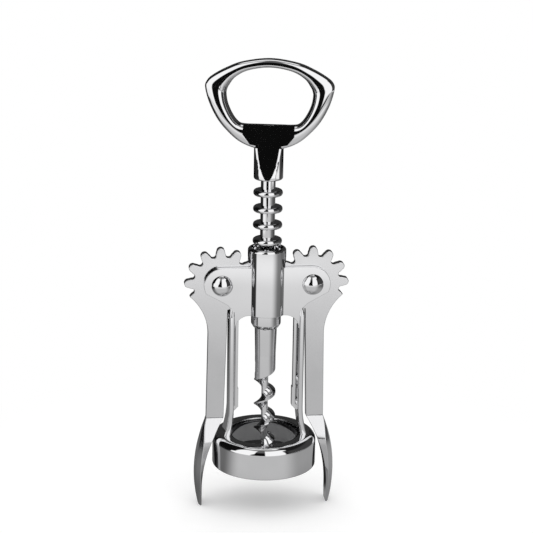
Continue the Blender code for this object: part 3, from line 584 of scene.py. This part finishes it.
def loop_section(outer, inner, half_depth, steps=14):
    """Section of the loop: a round inner side, a ridge, and a flatter outer face to a blunt edge."""
    middle = ((outer[0] + inner[0]) / 2, (outer[1] + inner[1]) / 2)
    ridge = -0.2
    front = []
    for step in range(steps + 1):
        angle = math.pi / 2 * step / steps
        front.append((ridge + (1 - ridge) * math.cos(angle), 0.5 + 0.5 * math.sin(angle)))
    for step in range(1, steps + 1):
        angle = math.pi / 2 * (1 + step / steps)
        front.append((ridge + (1 + ridge) * math.cos(angle), math.sin(angle)))
    sides = [(across, depth) for across, depth in front[:-1]]
    sides += [(across, -depth) for across, depth in reversed(front)]
    return [
        (middle[0] + (outer[0] - middle[0]) * across, -half_depth * depth,
         middle[1] + (outer[1] - middle[1]) * across)
        for across, depth in sides
    ]


def recess_cutter(side):
    half = NECK_RADIUS + 0.001
    right = [(0.0100, LIP_Z + 0.002), (0.0101, LIP_Z - 0.0042), (half, NECK_TOP_Z + 0.0017), (half, NECK_BOTTOM_Z)]
    outline = right + mirror_x(right)
    near = []
    for x, z in outline:
        share = (LIP_Z - z) / (LIP_Z - NECK_BOTTOM_Z)
        near.append((x, side * (0.0012 + (NECK_RADIUS - 0.0012) * share), z))
    return skin([near, [(x, side * (NECK_RADIUS + 0.002), z) for x, z in outline]])


def scoop_edge(side, hand):
    """Slopes one long edge of the scoop in the neck, wider towards its foot."""
    sections = []
    for step in range(25):
        z = NECK_BOTTOM_Z + 0.0006 + (NECK_TOP_Z + 0.0004 - NECK_BOTTOM_Z) * step / 24
        depth = 0.0012 + (NECK_RADIUS - 0.0012) * (LIP_Z - z) / (LIP_Z - NECK_BOTTOM_Z)
        edge = math.sqrt(max(0.0, NECK_RADIUS ** 2 - depth ** 2))
        start = max(0.0006, edge - 0.0004 - 0.0002 * step / 24)
        far = NECK_RADIUS + 0.001
        across = ((start, depth), (far, depth - (far - start) * 0.33), (far, depth + 0.002))
        sections.append([(hand * x, side * y, z) for x, y in across])
    return skin(sections)


def turned(body, degrees):
    bmesh.ops.rotate(body, verts=body.verts, cent=(0, 0, 0), matrix=Matrix.Rotation(math.radians(degrees), 3, "Z"))
    return body


def make_handle(material):
    mirrored = [(-row[0], row[1], -row[2], row[3]) for row in reversed(LOOP_SHARES[1:-1])]
    sections = []
    for outer_x, outer_z, inner_x, inner_z in smooth_through(list(LOOP_SHARES) + mirrored, 8):
        outer = (outer_x * HALF_WIDTH, HANDLE_TOP_Z - outer_z * LOOP_HEIGHT)
        inner = (inner_x * HALF_WIDTH, HANDLE_TOP_Z - inner_z * LOOP_HEIGHT)
        half_depth = 0.0031 + 0.0005 * min(1.0, outer_z / 0.26)
        sections.append(loop_section(outer, inner, half_depth))
    sunk_z = NECK_TOP_Z + 0.0027
    neck = [(0, sunk_z), (NECK_RADIUS, sunk_z)]
    neck += arc(NECK_RADIUS - 0.0009, NECK_BOTTOM_Z + 0.0009, 0.0009, 0, -90, 8)
    neck.append((0, NECK_BOTTOM_Z))
    cutters = [recess_cutter(-1), recess_cutter(1)]
    cutters += [scoop_edge(side, hand) for side in (-1, 1) for hand in (-1, 1)]
    cutters.append(cylinder(SPINDLE_RADIUS + CLEARANCE, NECK_BOTTOM_Z - 0.002, NECK_BOTTOM_Z + 0.0083, 64))
    loop = turned(skin(sections, ring=True), HANDLE_TURN)
    cutters = [turned(cutter, HANDLE_TURN) for cutter in cutters]
    piece("handle_loop", loop, material, "screw", "handle", [revolve(neck, 96)], cutters)


# Levers


def tooth_points(angle):
    half = TOOTH_WIDTH / 2
    points = []
    for across in range(-90, 91, 12):
        out = TIP_RADIUS - half + half * math.cos(math.radians(across))
        side = half * math.sin(math.radians(across))
        points.append((out * math.cos(angle) - side * math.sin(angle),
                       out * math.sin(angle) + side * math.cos(angle)))
    return points + valley_points(angle)


def valley_points(angle):
    half = TOOTH_WIDTH / 2
    middle = angle + TOOTH_SPACING / 2
    wide = ROOT_RADIUS * math.sin(TOOTH_SPACING / 2) - half * math.cos(TOOTH_SPACING / 2)
    points = []
    for step in range(-4, 5):
        share = step / 4
        out = ROOT_RADIUS + wide * (1 - math.sqrt(max(0.0, 1 - share ** 2)))
        side = wide * share
        points.append((out * math.cos(middle) - side * math.sin(middle),
                       out * math.sin(middle) + side * math.cos(middle)))
    return points


def lever_outline():
    spur = math.radians(-21.6)
    spur_z = PIVOT_Z + 0.0136 * math.sin(spur)
    bar_top_z = PIVOT_Z - 0.0211
    flare_top = 180 - math.degrees(math.asin((spur_z - bar_top_z) / 0.0213))
    outline = [(KINK_OUTER_X, KINK_Z)]
    outline += arc(PIVOT_X + 0.00527 + 0.0213, bar_top_z, 0.0213, 180, flare_top, 24)
    innermost = math.pi - TOOTH_PHASE + TOOTH_SPACING
    angles = [innermost - TOOTH_SPACING * index for index in reversed(range(8))]
    teeth = valley_points(angles[0] - TOOTH_SPACING)
    for angle in angles:
        teeth += tooth_points(angle)
    outline += [(PIVOT_X + x, PIVOT_Z + z) for x, z in teeth]
    start = math.degrees(angles[-1] + TOOTH_SPACING * 0.8)
    end = 360 - math.degrees(math.acos(-0.00253 / ROOT_RADIUS))
    outline += arc(PIVOT_X, PIVOT_Z, ROOT_RADIUS, start, end, 16)
    outline.append((KINK_INNER_X, KINK_Z))
    return outline


def arc_x(z, extreme_x, extreme_z, kink_x):
    sag = extreme_x - kink_x
    rise = KINK_Z - extreme_z
    radius = (sag ** 2 + rise ** 2) / (2 * sag)
    return extreme_x - radius + math.sqrt(radius ** 2 - (z - extreme_z) ** 2)


def foot_section(z, half_depth, ridge_share, inner_share):
    inner = arc_x(max(z, 0.0068), 0.0257, 0.0068, KINK_INNER_X)
    outer = arc_x(z, 0.0288, 0.0143, KINK_OUTER_X)
    ridge = inner + (outer - inner) * ridge_share
    shoulder = ridge + (outer - ridge) * 0.75
    front = [(inner, -half_depth * inner_share), (ridge, -half_depth), (shoulder, -half_depth * 0.6)]
    back = [(x, -y) for x, y in reversed(front)]
    corners = [(x, y, z) for x, y in front + [(outer, 0.0)] + back]
    return round_corners(corners, 0.00025, 3)


def make_levers(material):
    for side, label in ((-1, "left"), (1, "right")):
        plate = prism(lever_outline(), LEVER_THICKNESS / 2, 0.00045)
        rows = smooth_through(list(FOOT_SHARES), 6, closed=False)
        paddle = skin([
            foot_section(KINK_Z * height, FOOT_DEPTH / 2 * depth, min(1.0, ridge), min(1.0, inner))
            for height, depth, ridge, inner in rows
        ])
        body = join(plate, paddle)
        for vert in body.verts:
            vert.co.x *= side
        hole = turn_to_y(cylinder(RIVET_RADIUS + CLEARANCE, -0.0039, 0.0039, 48), side * PIVOT_X, PIVOT_Z)
        piece(label + "_arm", body, material, label + "_lever", label + "_lever",
              cutters=[hole])


# Studio: what the metal mirrors is set apart from what lights the floor and the plastic


def bearings(make, place):
    """Forward and sideways parts of a direction or place, seen from the camera's side."""
    parts = make.add("ShaderNodeSeparateXYZ", {0: place}).outputs
    turn = math.radians(-7.0)
    ahead = make.math("ADD", make.math("MULTIPLY", parts[0], math.sin(turn)),
                      make.math("MULTIPLY", parts[1], -math.cos(turn)))
    aside = make.math("ADD", make.math("MULTIPLY", parts[0], math.cos(turn)),
                      make.math("MULTIPLY", parts[1], math.sin(turn)))
    round_deg = make.math("MULTIPLY", make.math("ARCTAN2", aside, ahead), 57.2958)
    return ahead, aside, parts[2], round_deg


def make_world():
    """Two big softboxes with the camera's gap between them, a strip overhead, a pale backdrop."""
    world = bpy.data.worlds.new("studio")
    bpy.context.scene.world = world
    make = Nodes(world)
    place = make.add("ShaderNodeTexCoord").outputs["Generated"]
    ahead, aside, up, round_deg = bearings(make, place)
    over_deg = make.math("MULTIPLY", make.math("ARCTAN2", up, ahead), 57.2958)
    rise_deg = make.math("MULTIPLY", make.math("ARCSINE", up), 57.2958)
    left_start = make.step(rise_deg, 6, 18, -75.0, -65.0)
    left_end = make.step(rise_deg, 0, 24, -29.0, -20.0)
    right_start = make.step(rise_deg, -12, 2, 7.0, 3.5)
    right_end = make.step(rise_deg, 43, 50, 49.0, 66.0)
    left = make.math("MULTIPLY", make.step(make.math("SUBTRACT", round_deg, left_start), -2.0, 2.0),
                     make.step(make.math("SUBTRACT", left_end, round_deg), -1.5, 1.5))
    right = make.math("MULTIPLY", make.step(make.math("SUBTRACT", round_deg, right_start), -1.5, 1.5),
                      make.step(make.math("SUBTRACT", right_end, round_deg), -2.0, 2.0))
    right = make.math("MULTIPLY", right, make.step(rise_deg, -17, -14))
    top = make.math("MULTIPLY", make.step(rise_deg, 57, 67, 1.08, 0.3), make.step(rise_deg, 74, 80, 1.0, 0.2))
    between = make.math("MULTIPLY", make.window(round_deg, -70, 60, 4), make.step(rise_deg, 30, 50, 0.0, 0.13))
    boxes = make.math("MAXIMUM", make.math("MULTIPLY", make.math("ADD", left, right), top), between)
    strip = make.math("MULTIPLY", make.window(over_deg, 86, 122, 1.5), make.window(aside, -0.36, 0.26, 0.04))
    round_off = make.math("ABSOLUTE", round_deg)
    backdrop = make.math("MULTIPLY", make.step(round_off, 120, 150), make.step(rise_deg, 24, 34, 0.03, 0.01))
    dusk = make.math("MULTIPLY", make.window(round_deg, 56, 150, 6), make.step(rise_deg, 26, 42, 0.045, 0.008))
    level = make.math("MAXIMUM", make.math("MAXIMUM", boxes, strip), make.math("MAXIMUM", backdrop, dusk))
    level = make.math("ADD", level, 0.004)
    path = make.add("ShaderNodeLightPath").outputs
    glossy = make.add("ShaderNodeBackground", {"Color": make.add("ShaderNodeCombineColor", {
        0: level, 1: level, 2: level}).outputs[0], "Strength": 1.0})
    plain = make.add("ShaderNodeBackground", {"Color": (1.0, 1.0, 1.0, 1.0), "Strength": 1.0})
    mixed = make.add("ShaderNodeMixShader", {0: path["Is Glossy Ray"], 1: plain.outputs[0], 2: glossy.outputs[0]})
    out = make.add("ShaderNodeOutputWorld")
    make.tree.links.new(mixed.outputs[0], out.inputs["Surface"])


def make_floor():
    """A pale floor that fades into the background and keeps the object's shadow, thinned by a painted glow; in
    reflections it glows with painted light and shade.
    """
    body = bmesh.new()
    bmesh.ops.create_circle(body, cap_ends=True, segments=96, radius=3.0)
    mesh = bpy.data.meshes.new("floor")
    body.to_mesh(mesh)
    body.free()
    floor = bpy.data.objects.new("floor", mesh)
    floor.location.z = -0.0001
    bpy.context.scene.collection.objects.link(floor)
    material = bpy.data.materials.new("pale_floor")
    make = Nodes(material)
    place = make.add("ShaderNodeTexCoord").outputs["Object"]
    away = make.add("ShaderNodeVectorMath", {0: place}, operation="LENGTH").outputs["Value"]
    path = make.add("ShaderNodeLightPath").outputs
    matt = make.add("ShaderNodeBsdfDiffuse", {"Color": (0.88, 0.88, 0.88, 1.0)})
    ahead, aside, up, round_deg = bearings(make, place)
    # Painted light for the camera: a glow, weak in the middle of the shadow and growing outwards, thins the object's
    # shadow; further out the floor turns plain white
    inward = make.add("ShaderNodeCombineXYZ", {0: ahead, 1: make.math("MULTIPLY", aside, 0.45)})
    inward = make.add("ShaderNodeVectorMath", {0: inward.outputs[0]}, operation="LENGTH").outputs["Value"]
    lift = make.math("MULTIPLY", path["Is Camera Ray"], make.step(inward, 0.001, 0.018, 0.05, 0.22))
    glow = make.add("ShaderNodeEmission", {"Color": (1.0, 1.0, 1.0, 1.0), "Strength": lift})
    near = make.add("ShaderNodeAddShader", {0: matt.outputs[0], 1: glow.outputs[0]})
    white = make.add("ShaderNodeEmission", {"Color": (1.0, 1.0, 1.0, 1.0), "Strength": 1.0})
    far = make.step(away, 0.025, 0.16)
    seen = make.add("ShaderNodeMixShader", {0: far, 1: near.outputs[0], 2: white.outputs[0]})
    # What the metal mirrors is painted: the floor's brightness by distance, darker close to the object as painted
    # shade, brighter further out, dropping where the floor ends ahead; then shares of it by bearing
    painted_light_by_distance = make.math("ADD", make.step(away, 0.16, 0.32, 0.0, 0.20), make.step(away, 0.31, 0.36, 0.0, 0.18))
    painted_light_by_distance = make.math("ADD", painted_light_by_distance, make.step(away, 0.035, 0.075, 0.42, 0.56))
    painted_light_by_distance = make.math("SUBTRACT", painted_light_by_distance, make.step(away, 0.37, 0.43, 0.0, 0.30))
    far_side = make.math("MULTIPLY", make.step(round_deg, 28, 76, 1.0, 0.24), make.step(round_deg, 80, 120, 1.0, 0.3))
    far_side = make.math("MULTIPLY", far_side, make.step(round_deg, -68, -60, 0.04, 1.0))
    near_side = make.math("MULTIPLY", make.step(round_deg, 36, 76, 1.0, 0.62), make.step(round_deg, -88, -46, 0.27, 1.0))
    mixing = make.step(away, 0.10, 0.27)
    side = make.math("ADD", make.math("MULTIPLY", far_side, mixing),
                     make.math("MULTIPLY", near_side, make.math("SUBTRACT", 1.0, mixing)))
    level = make.math("MULTIPLY", painted_light_by_distance, side)
    left_glow = make.math("MULTIPLY", make.window(round_deg, -77, -30, 3), make.step(away, 0.40, 0.45))
    right_glow = make.math("MULTIPLY", make.window(round_deg, 60, 94, 4), make.step(away, 0.54, 0.60))
    level = make.math("MAXIMUM", level, make.math("MAXIMUM", left_glow, right_glow))
    behind = make.math("MULTIPLY", make.step(make.math("ABSOLUTE", round_deg), 112, 140),
                       make.step(away, 0.17, 0.3))
    level = make.math("MULTIPLY", level, make.math("SUBTRACT", 1.0, make.math("MULTIPLY", behind, 0.95)))
    rear = make.math("MAXIMUM", make.step(round_deg, 112, 135, 0.0, 0.16),
                     make.step(round_deg, -171.5, -169.5, 0.16, 0.0))
    rear = make.math("MULTIPLY", rear, make.window(away, 0.12, 0.62, 0.04))
    level = make.math("MAXIMUM", level, rear)
    # Painted shadow in reflections: the mirrored floor is darkened under and just behind the bell's foot
    painted_rear_shadow = make.math("MULTIPLY", make.step(ahead, -0.020, -0.008, 1.0, 0.0),
                      make.step(make.math("ABSOLUTE", aside), 0.024, 0.032, 1.0, 0.0))
    painted_rear_shadow = make.math("MULTIPLY", painted_rear_shadow, make.step(away, 0.066, 0.078, 0.93, 0.0))
    level = make.math("MULTIPLY", level, make.math("SUBTRACT", 1.0, painted_rear_shadow))
    # The metal mirrors this painted light and shade as a glow of the floor, not the floor's lit colour
    mirrored = make.add("ShaderNodeEmission", {"Color": (1.0, 1.0, 1.0, 1.0), "Strength": level})
    beyond = make.math("MAXIMUM", make.step(ahead, 0.476, 0.486), make.step(away, 0.70, 0.74))
    clear = make.add("ShaderNodeBsdfTransparent")
    edge = make.add("ShaderNodeMixShader", {0: beyond, 1: mirrored.outputs[0], 2: clear.outputs[0]})
    mixed = make.add("ShaderNodeMixShader", {0: path["Is Glossy Ray"], 1: seen.outputs[0], 2: edge.outputs[0]})
    out = make.add("ShaderNodeOutputMaterial")
    make.tree.links.new(mixed.outputs[0], out.inputs["Surface"])
    mesh.materials.append(material)


def make_camera():
    camera = bpy.data.objects.new("camera", bpy.data.cameras.new("camera"))
    bpy.context.scene.collection.objects.link(camera)
    yaw, pitch, roll = (math.radians(value) for value in (-6.988, 15.982, 0.979))
    back = Vector((math.sin(yaw) * math.cos(pitch), -math.cos(yaw) * math.cos(pitch), math.sin(pitch)))
    right = Vector((0.0, 0.0, 1.0)).cross(back).normalized()
    up = back.cross(right)
    right, up = (right * math.cos(roll) + up * math.sin(roll), up * math.cos(roll) - right * math.sin(roll))
    matrix = Matrix((right, up, back)).transposed().to_4x4()
    matrix.translation = Vector((-0.07921, -0.64516, 0.2868))
    camera.matrix_world = matrix
    camera.data.sensor_width = 36.0
    camera.data.lens = 1698.78 / 533 * 36.0
    camera.data.clip_start = 0.01
    bpy.context.scene.camera = camera


def main():
    chrome = metal("cast_chrome", (0.86, 0.86, 0.87), 0.03, 0.012, 1.0, 0.012)
    satin = metal("lever_chrome", (0.80, 0.80, 0.81), 0.11, 0.03, 1.0, 0.05)
    plated = metal("plated_steel", (0.85, 0.85, 0.86), 0.035, 0.012, 12.0, 0.02)
    drawn = metal("worm_steel", (0.86, 0.86, 0.87), 0.05, 0.02, 0.1, 0.03)
    make_frame(chrome)
    make_liner(plastic("liner_plastic"))
    make_rivets(plated)
    make_levers(satin)
    make_rack(plated)
    make_worm(drawn)
    make_handle(chrome)
    make_world()
    make_floor()
    make_camera()
    bpy.context.scene.view_settings.view_transform = "Standard"


main()
